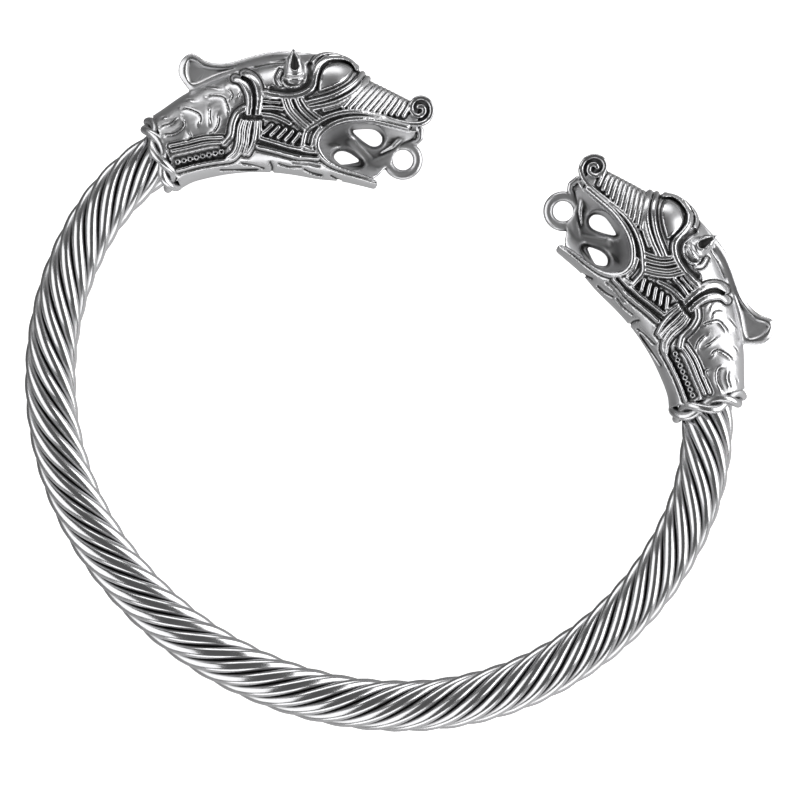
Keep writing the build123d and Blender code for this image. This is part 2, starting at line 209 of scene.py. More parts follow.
# Raised bands on the cheeks: half width, height, points of the middle line
RIDGES = [
    (0.26, 0.42, [(22.3, -2.45), (20.8, -2.0), (19.1, -1.55), (17.6, -1.0), (16.6, -0.2), (16.15, 1.0),
                  (16.6, 2.2), (17.9, 3.15), (19.6, 3.65), (21.8, 3.7), (24.0, 3.25), (25.6, 2.85)]),
    (0.24, 0.38, [(14.6, 0.9), (15.0, 2.4), (15.9, 3.1), (17.2, 3.85), (18.9, 4.35), (20.6, 4.45),
                  (22.2, 4.15), (23.0, 3.9)]),
    (0.16, 0.28, [(14.6, 0.85), (15.6, 0.5)]),
    (0.16, 0.28, [(15.65, 0.9), (15.9, 1.9), (16.5, 2.75)]),
    (0.33, 0.42, [(10.6, 6.35), (12.2, 6.1), (14.0, 6.1), (15.1, 6.5), (15.75, 7.2), (15.95, 8.3),
                  (16.35, 9.4), (17.1, 10.1)]),
    (0.17, 0.34, [(15.5, 8.0), (15.6, 9.4), (16.3, 10.4), (17.6, 10.75), (19.1, 10.45), (20.5, 9.3)]),
    (0.17, 0.34, [(15.95, 7.8), (16.25, 9.1), (17.1, 9.95), (18.6, 10.15), (19.75, 9.75),
                  (20.35, 8.95)]),
    (0.26, 0.36, [(21.0, 8.6), (19.9, 7.3), (18.3, 6.3), (16.8, 5.75), (15.2, 5.35)]),
    (0.26, 0.36, [(21.5, 8.1), (20.3, 6.65), (18.9, 5.7), (17.2, 5.1), (15.4, 4.75)]),
    (0.16, 0.24, [(19.6, 5.6), (18.3, 4.95), (16.9, 4.55)]),
    (0.22, 0.34, [(12.5, 6.0), (13.0, 4.6), (13.9, 3.5), (14.8, 2.7)]),
    (0.22, 0.34, [(13.1, 5.95), (13.6, 4.7), (14.5, 3.7), (15.2, 3.1)]),
    (0.22, 0.34, [(13.9, 5.85), (14.4, 4.8), (15.2, 3.95), (15.9, 3.4)]),
    (0.2, 0.32, [(14.6, 5.7), (15.2, 4.8), (16.0, 4.1), (16.6, 3.7)]),
    (0.13, 0.26, [(10.5, 5.95), (12.1, 5.85)]),
    (0.13, 0.26, [(10.5, 5.5), (12.2, 5.35)]),
    (0.2, 0.3, [(10.5, 4.85), (11.4, 4.85), (12.5, 4.7)]),
    (0.2, 0.3, [(10.4, 4.15), (11.5, 4.0), (12.5, 3.6), (13.3, 3.15)]),
    (0.36, 0.36, [(7.5, 7.95), (8.1, 7.75), (8.6, 7.15), (9.0, 6.2), (9.1, 5.2), (9.0, 4.1)]),
    (0.4, 0.38, [(8.5, 8.5), (9.25, 8.15), (9.85, 7.3), (10.05, 6.1), (9.95, 5.0), (9.8, 4.0)]),
    (0.3, 0.4, [(8.5, 4.75), (7.75, 4.2), (7.3, 3.1), (7.1, 1.9), (6.4, 1.05)]),
    (0.2, 0.32, [(8.3, 3.6), (7.95, 2.6), (7.85, 1.3), (7.5, 0.2), (6.7, -0.55)]),
    (0.16, 0.3, [(8.75, 3.6), (8.45, 2.5), (8.35, 1.2), (8.0, 0.1)]),
    (0.17, 0.3, [(9.2, 3.5), (8.95, 2.4), (8.8, 1.1), (8.5, 0.0)]),
    (0.2, 0.32, [(9.75, 3.5), (9.65, 2.1), (9.35, 0.9), (8.9, 0.0)]),
    (0.15, 0.28, [(10.15, 3.4), (10.2, 2.5), (10.15, 1.9)]),
    (0.2, 0.34, [(10.2, 1.65), (11.7, 1.2), (13.2, 0.75), (14.4, 0.5)]),
    (0.2, 0.34, [(9.9, 0.75), (11.6, 0.35), (13.2, -0.1), (14.3, -0.35)]),
    (0.16, 0.26, [(14.5, -0.35), (15.3, -0.4), (16.2, -0.5)]),
    (0.16, 0.26, [(14.5, 0.4), (15.3, 0.25), (16.0, 0.2)]),
    (0.13, 0.2, [(0.9, 0.3), (2.6, 0.65), (4.5, 1.1), (6.2, 1.2)]),
    (0.12, 0.16, [(0.7, 0.8), (2.4, 1.15), (4.3, 1.6), (6.2, 1.7)]),
    (0.15, 0.26, [(1.5, -1.75), (3.5, -1.2), (5.4, -0.85), (7.2, -0.6), (8.0, 0.1)]),
    (0.2, 0.24, [(3.6, 10.0), (5.4, 9.3), (7.4, 9.5), (9.6, 10.2), (12.0, 10.6)]),
    (0.14, 0.24, [(13.0, 8.4), (12.6, 7.7), (13.0, 7.1), (13.9, 6.9)]),
    (0.14, 0.2, [(12.3, 8.7), (12.0, 7.9), (12.3, 7.2)]),
]

# Incised lines: half width, depth, points of the middle line
GROOVES = [
    (0.3, 0.4, [(11.3, 6.85), (12.8, 6.55), (14.2, 6.75), (15.1, 7.3), (15.4, 8.3), (15.35, 9.4)]),
    (0.14, 0.3, [(8.3, 8.0), (9.1, 7.55), (9.5, 6.5), (9.55, 5.2), (9.4, 4.0)]),
    (0.2, 0.3, [(8.4, 3.85), (9.2, 3.75), (10.2, 3.8)]),
    (0.16, 0.3, [(2.6, 7.3), (5.6, 8.55), (8.0, 9.4), (10.5, 9.85), (12.6, 10.0)]),
    (0.12, 0.18, [(9.6, 9.2), (11.2, 9.5), (12.7, 9.6)]),
    (0.11, 0.2, [(8.2, -0.95), (9.4, -1.15), (10.5, -1.45)]),
    (0.11, 0.2, [(6.0, -1.65), (8.4, -1.6), (9.9, -1.55)]),
    (0.12, 0.24, [(11.2, -0.85), (11.4, -1.3), (11.35, -1.85)]),
    (0.1, 0.18, [(12.1, -1.0), (13.2, -1.3), (14.4, -1.35)]),
    (0.12, 0.22, [(14.8, -1.6), (15.6, -1.95), (16.6, -2.2)]),
    (0.12, 0.22, [(17.6, -2.25), (18.6, -2.75)]),
    (0.1, 0.16, [(13.6, -0.9), (15.2, -1.0), (16.4, -1.3)]),
    (0.12, 0.2, [(12.9, 8.3), (12.7, 7.8), (13.1, 7.3), (14.1, 7.2), (14.7, 7.7)]),
]

# Scale-like leaves of the neck: how high the surface steps up on the line's left, points of the line
LEAVES = [
    (0.32, [(3.8, 3.05), (3.85, 4.0), (3.1, 4.5), (1.95, 4.85)]),
    (0.3, [(6.95, 4.2), (6.65, 5.2), (6.2, 5.95), (4.6, 6.1)]),
    (0.26, [(5.0, 3.05), (4.85, 4.0), (4.95, 5.0)]),
    (0.28, [(5.05, 2.05), (5.7, 2.9), (5.9, 4.05)]),
    (0.24, [(1.5, 3.95), (0.8, 3.2), (-0.4, 2.85)]),
    (0.28, [(1.9, 3.7), (2.15, 2.95), (1.25, 2.15), (-0.1, 1.95)]),
    (0.26, [(2.2, 1.15), (2.85, 1.7), (2.7, 2.35)]),
    (0.22, [(5.95, 6.95), (4.2, 7.05)]),
    (0.24, [(6.85, 5.4), (7.25, 6.15), (6.8, 7.0)]),
    (0.2, [(7.75, 5.65), (8.2, 6.65)]),
    (0.18, [(0.45, 3.95), (-0.35, 3.7)]),
    (0.18, [(3.3, 5.65), (2.2, 5.7)]),
]

# Rows of like ridges: how many, half width, height, then the first and last ridge's ends
RIDGE_ROWS = [
    (11, 0.19, 0.36, ((18.9, 4.95), (21.4, 7.6)), ((25.2, 4.05), (25.9, 5.4))),
    (5, 0.17, 0.32, ((10.5, 2.2), (11.4, 3.0)), ((13.6, 1.2), (14.3, 2.1))),
]

# Sunken fields between the bands: depth, then the outline
SUNKEN_FIELDS = [
    (0.22, [(10.3, 3.4), (12.2, 3.3), (14.4, 2.3), (14.3, 1.1), (12.0, 1.7), (10.3, 2.0)]),
    (0.3, [(1.0, -1.6), (0.9, -0.3), (3.0, 0.25), (5.2, 0.75), (6.5, 0.85), (6.9, -0.2), (4.5, -0.85)]),
    (0.16, [(10.3, 6.1), (12.3, 6.0), (12.8, 4.2), (11.8, 3.9), (10.3, 4.2)]),
]

# The neck's row of beads: how many, radius, height, first and last place
BEAD_ROW = (8, 0.35, 0.45, (1.5, -0.85), (6.1, 0.2))

# Tapering bars of the small forms: start, end, start radius, end radius.
# Each group has the reach of the fillet that joins it to the head.
SMALL_FORMS = {
    "bar_of_the_web": (0.25, [
        ((19.6, 1.5, 0.1), (21.9, -0.9, 0.1), 0.55, 0.5),
        ((20.2, 1.25, 0.55), (21.8, -0.4, 0.5), 0.13, 0.1),
    ]),
    "tongue": (0.35, [
        ((19.2, -1.75, 0.0), (21.2, -1.35, 0.0), 0.7, 0.72),
        ((21.2, -1.35, 0.0), (23.4, -0.5, 0.0), 0.72, 0.62),
        ((23.4, -0.5, 0.0), (24.4, 0.5, 0.0), 0.62, 0.45),
    ]),
    "tongue_ridge": (0.1, [((21.0, -1.2, 0.62), (24.0, 0.2, 0.5), 0.14, 0.12)]),
    "fang": (0.12, [
        ((25.3, 2.1, 0.8), (24.1, 0.85, 1.0), 0.36, 0.24),
        ((24.1, 0.85, 1.0), (22.8, 0.15, 0.75), 0.24, 0.1),
    ]),
    "hooked_tooth": (0.15, [
        ((27.0, 2.6, 0.4), (27.0, 1.75, 0.4), 0.34, 0.3),
        ((27.0, 1.75, 0.4), (26.6, 1.3, 0.35), 0.3, 0.28),
        ((26.6, 1.3, 0.35), (25.8, 1.2, 0.2), 0.28, 0.3),
        ((26.3, 2.5, 0.0), (26.3, 1.3, 0.0), 0.4, 0.35),
    ]),
}

# Ring at the tongue's tip
LOOP_CENTRE = (25.14, -0.57)
loop_radius = 1.58
loop_flat_half = 0.1
loop_deep_half = 0.12
loop_edge_radius = 0.42
loop_hole_radius = 1.06
loop_fillet = 0.15

# Rolled tip of the nose, and the ribbon that winds into it
ROLL_CENTRE = (26.95, 4.6)
roll_radius = 1.25
roll_half = 1.1
roll_fillet = 0.12
ribbon_half = 0.1
ribbon_edge_radius = 0.15
ribbon_least_half = 1.62
ribbon_proud = 0.2

# Ears: points of the middle line, radii there, the rings round the foot as height and radius,
# and the bar that hollows the front
EAR_LINE = [(13.75, 8.5, 2.75), (13.72, 9.75, 3.1), (13.66, 10.95, 3.4)]
EAR_RADII = (1.1, 0.8, 0.12)
EAR_RINGS = [(0.1, 1.0), (-0.4, 1.15)]
EAR_HOLLOW = ((13.8, 9.25, 3.68), (13.72, 10.4, 3.6), 0.47, 0.2)
ear_ring_half = 0.17
ear_fillet = 0.15
ear_ring_fillet = 0.08


def smooth_line(points, steps=6, closed=False):
    """Points along a smooth line through the given ones."""
    row = [np.array(p, float) for p in points]
    if closed:
        row = [row[-1]] + row + [row[0], row[1]]
    else:
        row = [2 * row[0] - row[1]] + row + [2 * row[-1] - row[-2]]
    shares = np.linspace(0, 1, steps, endpoint=False)[:, None]
    parts = []
    for a, b, c, d in zip(row, row[1:], row[2:], row[3:]):
        slope, bend, twist = c - a, 2 * a - 5 * b + 4 * c - d, 3 * b - a - 3 * c + d
        parts.append(0.5 * (2 * b + slope * shares + bend * shares**2 + twist * shares**3))
    line = np.concatenate(parts)
    return line if closed else np.vstack([line, row[-2]])


def line_distance(u, v, line, closed=False):
    """Distance of every grid place to a broken line."""
    ends = np.roll(line, -1, axis=0) if closed else line[1:]
    starts = line if closed else line[:-1]
    best = np.full(np.broadcast(u, v).shape, 1e6)
    for (au, av), (bu, bv) in zip(starts, ends):
        du, dv = bu - au, bv - av
        share = np.clip(((u - au) * du + (v - av) * dv) / max(du * du + dv * dv, 1e-9), 0, 1)
        best = np.minimum(best, (u - au - share * du) ** 2 + (v - av - share * dv) ** 2)
    return np.sqrt(best)


def line_side(u, v, line):
    """Distance to a broken line, and to its nearest run with a sign, more than zero on the left."""
    best = np.full(np.broadcast(u, v).shape, 1e6)
    side = np.zeros_like(best)
    for (au, av), (bu, bv) in zip(line[:-1], line[1:]):
        du, dv = bu - au, bv - av
        share = np.clip(((u - au) * du + (v - av) * dv) / (du * du + dv * dv), 0, 1)
        gap = np.hypot(u - au - share * du, v - av - share * dv)
        left = (du * (v - av) - dv * (u - au)) / np.hypot(du, dv)
        side = np.where(gap < best, left, side)
        best = np.minimum(best, gap)
    return best, side


def region_distance(u, v, line):
    """Signed distance to a closed outline, less than zero inside."""
    inside = np.zeros(np.broadcast(u, v).shape, bool)
    for (au, av), (bu, bv) in zip(line, np.roll(line, -1, axis=0)):
        if av != bv:
            crosses = (av > v) != (bv > v)
            inside ^= crosses & (u < (bu - au) * (v - av) / (bv - av) + au)
    distance = line_distance(u, v, line, closed=True)
    return np.where(inside, -distance, distance)


def ease(low, high, value):
    """A soft step from 0 to 1."""
    share = np.clip((value - low) / (high - low), 0, 1)
    return share * share * (3 - 2 * share)


def soft_join(a, b, reach):
    """The union of two forms with a small fillet."""
    share = np.clip(0.5 + 0.5 * (b - a) / reach, 0, 1)
    return b + (a - b) * share - reach * share * (1 - share)


def local_window(u, v, line, reach):
    """The part of the grid near a line."""
    us = np.nonzero((u[:, 0] > line[:, 0].min() - reach) & (u[:, 0] < line[:, 0].max() + reach))[0]
    vs = np.nonzero((v[0] > line[:, 1].min() - reach) & (v[0] < line[:, 1].max() + reach))[0]
    if not len(us) or not len(vs):
        return None
    return slice(us[0], us[-1] + 1), slice(vs[0], vs[-1] + 1)


def between(first, last, number, count):
    """One of a row of evenly spaced places."""
    return np.array(first) + (np.array(last) - np.array(first)) * number / (count - 1)


def raised_lines(u, v):
    """Height of the raised bands and ridges, with a narrow ditch along their feet."""
    raised = np.zeros(np.broadcast(u, v).shape)
    sunk = np.zeros_like(raised)

    def stroke(half, height, line):
        window = local_window(u, v, line, half + 0.6)
        if window is None:
            return
        gap = line_distance(u[window[0]], v[:, window[1]], line)
        form = height * (1 - ease(0.5 * half, half + 0.15, gap))
        raised[window] = np.maximum(raised[window], form)
        ditch = moat_depth * (1 - ease(0.0, moat_half, np.abs(gap - half - moat_offset)))
        sunk[window] = np.maximum(sunk[window], ditch)

    for half, height, points in RIDGES:
        stroke(half, height, smooth_line(points))
    for count, half, height, first, last in RIDGE_ROWS:
        for number in range(count):
            share = number / (count - 1)
            low = np.array(first[0]) * (1 - share) + np.array(last[0]) * share
            high = np.array(first[1]) * (1 - share) + np.array(last[1]) * share
            bow = (low + high) / 2 + np.array(row_bow)
            stroke(half, height, smooth_line([low, bow, high]))
    return raised, sunk


def cut_grooves(u, v, height):
    """Cut the incised lines into the relief."""
    for half, depth, points in GROOVES:
        line = smooth_line(points)
        window = local_window(u, v, line, half + 0.3)
        gap = line_distance(u[window[0]], v[:, window[1]], line)
        cut = depth * (1 - ease(0.1 * half, half + 0.1, gap))
        cut_height = np.minimum(height[window], height[window] * groove_keep - cut)
        height[window] = np.where(cut > least_cut, cut_height, height[window])


def add_leaves(u, v, height):
    """Lift the relief on one side of each leaf's edge and sink it on the other."""
    for step, points in LEAVES:
        line = smooth_line(points)
        window = local_window(u, v, line, 1.0)
        near_u, near_v = u[window[0]], v[:, window[1]]
        gap, side = line_side(near_u, near_v, line)
        ends = ease(0.0, leaf_fade, np.hypot(near_u - line[0][0], near_v - line[0][1]))
        ends = ends * ease(0.0, leaf_fade, np.hypot(near_u - line[-1][0], near_v - line[-1][1]))
        rise = leaf_rise * step * (1 - ease(0.0, 0.5, gap))
        cut = leaf_cut * step * (1 - ease(0.0, 0.2, gap))
        height[window] += ends * np.where(side > 0, rise, -cut) * ease(-0.06, 0.06, np.abs(side) - 0.02)


def eye_dome(u, v):
    """Height of the eye's swelling over the cheek."""
    lean = radians(eye_lean)
    long = (u - EYE_CENTRE[0]) * cos(lean) + (v - EYE_CENTRE[1]) * sin(lean)
    tall = (v - EYE_CENTRE[1]) * cos(lean) - (u - EYE_CENTRE[0]) * sin(lean)
    return np.sqrt(np.clip(1 - (long / eye_long) ** 2 - (tall / eye_tall) ** 2, 0, 1))


def relief(u, v):
    """Height of the cast ornament over the plain cheek."""
    raised, sunk = raised_lines(u, v)
    height = raised - sunk * (1 - np.clip(raised / 0.12, 0, 1))
    for depth, points in SUNKEN_FIELDS:
        field = region_distance(u, v, smooth_line(points, closed=True))
        height -= depth * (1 - ease(-0.25, 0.15, field)) * (raised < 0.1)
    cut_grooves(u, v, height)
    add_leaves(u, v, height)
    rim_line = smooth_line(EYE_RIM, closed=True)
    lid = region_distance(u, v, rim_line)
    height = np.where(lid < -0.03, eye_rise * eye_dome(u, v) * ease(0.03, 0.2, -lid), height)
    count, radius, bead_height, first, last = BEAD_ROW
    for number in range(count):
        middle = between(first, last, number, count)
        gap = np.hypot(u - middle[0], v - middle[1])
        bead = bead_height * (1 - ease(radius - 0.12, radius + 0.04, gap))
        pit = bead_pit_depth * (1 - ease(0.05, 0.2, gap))
        height = np.where(gap < radius + 0.06, height + (bead - pit), height)
    rim = line_distance(u, v, rim_line, closed=True)
    return height - eye_groove_depth * (1 - ease(0.0, eye_groove_half, rim))


def capsule(u, v, w, start, end, start_radius, end_radius):
    """A tapering bar with round ends."""
    a, b = np.array(start), np.array(end)
    d = b - a
    share = np.clip(((u - a[0]) * d[0] + (v - a[1]) * d[1] + (w - a[2]) * d[2]) / d.dot(d), 0, 1)
    off_u, off_v, off_w = u - a[0] - share * d[0], v - a[1] - share * d[1], w - a[2] - share * d[2]
    gap = np.sqrt(off_u**2 + off_v**2 + off_w**2)
    return gap - (start_radius + (end_radius - start_radius) * share)


def joined_bars(u, v, w, bars):
    """Tapering bars taken as one form."""
    form = capsule(u, v, w, *bars[0])
    for bar in bars[1:]:
        form = np.minimum(form, capsule(u, v, w, *bar))
    return form


def collar_rope(u, v, w):
    """Two strands twisted together round the neck's end, and the distance along the neck."""
    up = (-sin(radians(collar_tilt)), cos(radians(collar_tilt)))
    forward = (up[1], -up[0])
    rise = u * up[0] + v * up[1]
    along = u * forward[0] + v * forward[1]
    turn = np.arctan2(w / collar_out, rise / collar_rise)
    reach = np.sqrt((rise / collar_rise) ** 2 + (w / collar_out) ** 2)
    outward = (reach - 1) * 0.5 * (collar_rise + collar_out)
    sleeve = np.abs(outward + sleeve_sink) - sleeve_half
    rope = np.maximum(sleeve, np.abs(along + rope_back) - rope_spread)
    for half in (0, 1):
        twist = turn * rope_twists + pi * half
        off_outward = outward - rope_lift * np.cos(twist)
        off_along = along + rope_back - rope_spread * np.sin(twist)
        rope = np.minimum(rope, np.sqrt(off_outward**2 + off_along**2) - rope_strand_radius)
    return rope, along


def head_body(us, u2, v2, w):
    """The head's rounded body with its relief, and the cheek's half width seen from the side."""

    def along(points):
        line = smooth_line(points)
        return np.interp(us, line[:, 0], line[:, 1])[:, None]

    top, bottom, width = along(TOP_LINE), along(BOTTOM_LINE), along(WIDTH_LINE)
    middle, half = (top + bottom) / 2, (top - bottom) / 2
    share = np.abs(v2 - middle) / half
    power = cheek_power
    oval = (share[:, :, None] ** power + (w / width[:, :, None]) ** power) ** (1 / power) - 1
    oval = oval.astype(np.float32)
    slopes = np.gradient(oval, voxel)
    body = oval / np.maximum(np.sqrt(sum(s * s for s in slopes)), 0.08)
    surface = width * np.clip(1 - share**power, 0, 1) ** (1 / power)
    return body - relief(u2, v2)[:, :, None].astype(np.float32), surface


def crest_plate(u2, v2, w):
    """The swept-back crest with its sunken panel."""
    crest = region_distance(u2, v2, np.vstack([smooth_line(CREST_OUTLINE), CREST_BASE]))
    panel = region_distance(u2, v2, smooth_line(CREST_PANEL, closed=True))
    half = crest_half - crest_panel_depth * (1 - ease(-0.35, 0.0, panel))
    half = half - crest_edge_taper * ease(-0.5, 0.0, crest)
    return np.maximum(crest[:, :, None], w - half[:, :, None])


def open_mouth(solid, surface, u2, v2, w):
    """The head with its mouth cut down to a web with two holes, and the mouth's shade from the side."""
    mouth = region_distance(u2, v2, np.vstack([smooth_line(MOUTH_EDGE), MOUTH_FRONT]))
    web = region_distance(u2, v2, smooth_line(WEB_OUTLINE, closed=True))
    upper = region_distance(u2, v2, smooth_line(UPPER_HOLE, closed=True))
    lower = region_distance(u2, v2, smooth_line(LOWER_HOLE, closed=True))
    holes = np.minimum(upper, lower)
    bowl = (1 - np.clip(-mouth / bowl_reach, 0, 1)) ** 2
    floor = web_half + np.maximum(surface - web_half, 0) * bowl
    floor = floor * (hole_rim_share + (1 - hole_rim_share) * ease(0.0, hole_rim_reach, holes))
    solid = np.maximum(solid, np.minimum(-mouth[:, :, None], w - floor[:, :, None]))
    solid = np.maximum(solid, -np.maximum(mouth, -web)[:, :, None])
    solid = np.maximum(solid, -holes[:, :, None])
    return solid, ease(0.1, 1.3, -mouth) * (1 - 0.7 * ease(0.2, 2.2, web))


def add_loop(solid, u, v, w):
    """The head with the ring at the tip of its tongue."""
    ring = np.sqrt((u - LOOP_CENTRE[0]) ** 2 + (v - LOOP_CENTRE[1]) ** 2)
    across = np.maximum(np.abs(ring - loop_radius) - loop_flat_half, 0)
    deep = np.maximum(w - loop_deep_half, 0)
    solid = soft_join(solid, np.sqrt(across**2 + deep**2) - loop_edge_radius, loop_fillet)
    return np.maximum(solid, loop_hole_radius - ring)


def add_nose_roll(solid, surface, u2, v2, w):
    """The head with the rolled tip of its nose."""
    spiral = line_distance(u2, v2, smooth_line(SPIRAL))
    roll = np.sqrt((u2 - ROLL_CENTRE[0]) ** 2 + (v2 - ROLL_CENTRE[1]) ** 2) - roll_radius
    roll_solid = np.maximum(roll[:, :, None], w - roll_half)
    ribbon = np.maximum(spiral - ribbon_half, 0)[:, :, None]
    spread = np.maximum(ribbon_least_half, surface + ribbon_proud)[:, :, None]
    ribbon = np.sqrt(ribbon**2 + np.maximum(w - spread, 0) ** 2) - ribbon_edge_radius
    return soft_join(solid, np.minimum(roll_solid, ribbon), roll_fillet)


def add_ear(solid, u, v, w):
    """The head with a hollow pointed ear and the rings round its foot."""
    seat, waist, tip = [np.array(place) for place in EAR_LINE]
    foot_radius, waist_radius, tip_radius = EAR_RADII
    axis = (tip - seat) / np.linalg.norm(tip - seat)
    bars = [(seat, waist, foot_radius, waist_radius), (waist, tip, waist_radius, tip_radius)]
    ear = np.maximum(joined_bars(u, v, w, bars), -capsule(u, v, w, *EAR_HOLLOW))
    off_u, off_v, off_w = u - seat[0], v - seat[1], w - seat[2]
    rise = off_u * axis[0] + off_v * axis[1] + off_w * axis[2]
    around = np.sqrt(np.maximum(off_u**2 + off_v**2 + off_w**2 - rise**2, 0))
    solid = soft_join(solid, ear, ear_fillet)
    for height, radius in EAR_RINGS:
        ring = np.sqrt((around - radius) ** 2 + (rise - height) ** 2) - ear_ring_half
        solid = soft_join(solid, ring, ear_ring_fillet)
    return solid


def socket_bore(u, v, w):
    """The round hole that the cable goes into."""
    lay = (cos(radians(socket_tilt)), sin(radians(socket_tilt)))
    depth = u * lay[0] + v * lay[1]
    side = np.sqrt((v * lay[0] - u * lay[1]) ** 2 + w**2)
    return np.maximum(side - socket_radius, depth - socket_depth)


def head_field():
    """The head as a field of distances, the mouth's shade seen from the side and the grid's corner."""
    counts = [int(round((b - a) / voxel)) + 1 for a, b in zip(GRID_LOW, GRID_HIGH)]
    axes = [a + voxel * np.arange(n) for a, n in zip(GRID_LOW, counts)]
    u2, v2 = axes[0][:, None], axes[1][None, :]
    u, v = u2[:, :, None].astype(np.float32), v2[:, :, None].astype(np.float32)
    w = axes[2][None, None, :].astype(np.float32)

    body, surface = head_body(axes[0], u2, v2, w)
    body = np.maximum(body, u - snout_end)
    solid = soft_join(body, crest_plate(u2, v2, w), crest_fillet)
    solid, shade = open_mouth(solid, surface, u2, v2, w)
    for reach, bars in SMALL_FORMS.values():
        solid = soft_join(solid, joined_bars(u, v, w, bars), reach)
    solid = add_loop(solid, u, v, w)
    solid = add_nose_roll(solid, surface, u2, v2, w)
    solid = add_ear(solid, u, v, w)
    rope, along = collar_rope(u, v, w)
    solid = np.minimum(np.maximum(solid, neck_end - along), rope)
    solid = np.maximum(solid, -socket_bore(u, v, w))
    solid = np.maximum(solid, u - head_end)
    corner = np.array([GRID_LOW[0], GRID_LOW[1], -GRID_HIGH[2]])
    return np.concatenate([solid[:, :, :0:-1], solid], axis=2), shade, corner


def blurred(field, reach):
    """The field's average over a small cube round each place."""
    for axis in range(3):
        margins = [(reach + 1, reach) if a == axis else (0, 0) for a in range(3)]
        padded = np.pad(field, margins, mode="edge")
        total = np.cumsum(padded, axis=axis, dtype=np.float64)
        size = 2 * reach + 1
        upper = np.take(total, range(size, total.shape[axis]), axis=axis)
        lower = np.take(total, range(0, total.shape[axis] - size), axis=axis)
        field = ((upper - lower) / size).astype(np.float32)
    return field


def sampled(field, places):
    """The field's value at places between its grid points."""
    base = np.clip(np.floor(places).astype(int), 0, np.array(field.shape) - 2)
    part = places - base
    value = np.zeros(len(places))
    for corner in np.ndindex(2, 2, 2):
        weight = np.prod(np.where(np.array(corner) == 1, part, 1 - part), axis=1)
        value += weight * field[tuple((base + corner).T)]
    return value


def add_mesh(name, points, faces, hollow, material):
    """A smooth mesh object with the attribute that tells how sunken each point is, which darkens the steel
    as patina and painted shade.
    """
    mesh = bpy.data.meshes.new(name)
    mesh.from_pydata(points, [], faces)
    mesh.polygons.foreach_set("use_smooth", np.ones(len(mesh.polygons), bool))
    layer = mesh.attributes.new("hollow", "FLOAT", "POINT")
    layer.data.foreach_set("value", np.asarray(hollow, np.float32))
    mesh.materials.append(material)
    mesh.update()
    piece = bpy.data.objects.new(name, mesh)
    bpy.context.scene.collection.objects.link(piece)
    return piece


def without_crumbs(mesh):
    """The mesh without the loose crumbs beside its largest shell."""
    ends = np.empty(2 * len(mesh.edges), np.int32)
    mesh.edges.foreach_get("vertices", ends)
    starts, stops = ends[0::2], ends[1::2]
    shell = np.arange(len(mesh.vertices))
    while True:
        lowest = np.minimum(shell[starts], shell[stops])
        joined = shell.copy()
        np.minimum.at(joined, starts, lowest)
        np.minimum.at(joined, stops, lowest)
        joined = joined[joined]
        if np.array_equal(joined, shell):
            break
        shell = joined
    crumbs = shell != np.bincount(shell).argmax()
    work = bmesh.new()
    work.from_mesh(mesh)
    bmesh.ops.delete(work, geom=[point for point in work.verts if crumbs[point.index]], context="VERTS")
    work.to_mesh(mesh)
    work.free()
    return mesh


def thinned(piece, most):
    """The piece with its flattest triangles merged, so that it stays under a number of them."""
    count = sum(len(polygon.vertices) - 2 for polygon in piece.data.polygons)
    modifier = piece.modifiers.new("thin", "DECIMATE")
    modifier.ratio = min(1.0, most / count)
    shape = bpy.data.meshes.new_from_object(piece.evaluated_get(bpy.context.evaluated_depsgraph_get()))
    piece.modifiers.clear()
    piece.data = without_crumbs(shape)
    return piece


def head_mesh():
    """Points, faces and sunken values of one head in its own frame, with painted shade added in the mouth
    and the ear's hollow.
    """
    field, shade, corner = head_field()
    field = np.clip(field, -4 * voxel, 4 * voxel).astype(np.float32)
    grid = vdb.FloatGrid(4 * voxel)
    grid.copyFromArray(field.astype(np.float64))
    points, triangles, quads = grid.convertToPolygons(isovalue=0.0, adaptivity=0.0)
    soft = blurred(field, blur_reach)
    # Darkness of the recesses, from the blurred field: partly patina, partly painted shade.
    hollow = -sampled(soft, points) / hollow_scale
    # Painted shade in the mouth and on the ring behind it, from the mouth's outline seen from the side.
    inner = np.repeat(shade[:, :, None], 2, axis=2)
    flat = np.column_stack([points[:, :2], np.zeros(len(points))])
    hollow = np.clip(hollow + mouth_shade * sampled(inner, flat), -1, 1)
    faces = [tuple(row) for row in quads] + [tuple(row) for row in triangles]
    points = points * voxel + corner
    # Painted shade in the ear's hollow.
    in_ear = capsule(points[:, 0], points[:, 1], np.abs(points[:, 2]), *EAR_HOLLOW)
    return points, faces, np.clip(hollow + ear_shade * (1 - ease(0.02, 0.15, in_ear)), -1, 1)


def walk(runs, distance):
    """Place and heading at a distance from the hoop's back."""
    x, y, heading = 0.0, -back_distance, 0.0
    for radius, sweep in runs:
        turn = min(max(distance / radius, 0.0), radians(sweep))
        x += radius * (sin(heading + turn) - sin(heading))
        y -= radius * (cos(heading + turn) - cos(heading))
        heading += turn
        distance -= radius * radians(sweep)
    straight = max(distance, 0.0)
    return x + straight * cos(heading), y + straight * sin(heading), heading


def run_length(runs):
    """Length of one side of the hoop's middle line."""
    return sum(radius * radians(sweep) for radius, sweep in runs)


def hoop_frame(distance):
    """Middle of the cable with its forward and outward directions."""
    if distance >= 0:
        x, y, heading = walk(side_runs["right"], distance)
    else:
        x, y, heading = walk(side_runs["left"], -distance)
        x, heading = -x, -heading
    forward = np.array([cos(heading), sin(heading), 0.0])
    outward = np.array([sin(heading), -cos(heading), 0.0])
    return np.array([x, y, 0.0]), forward, outward


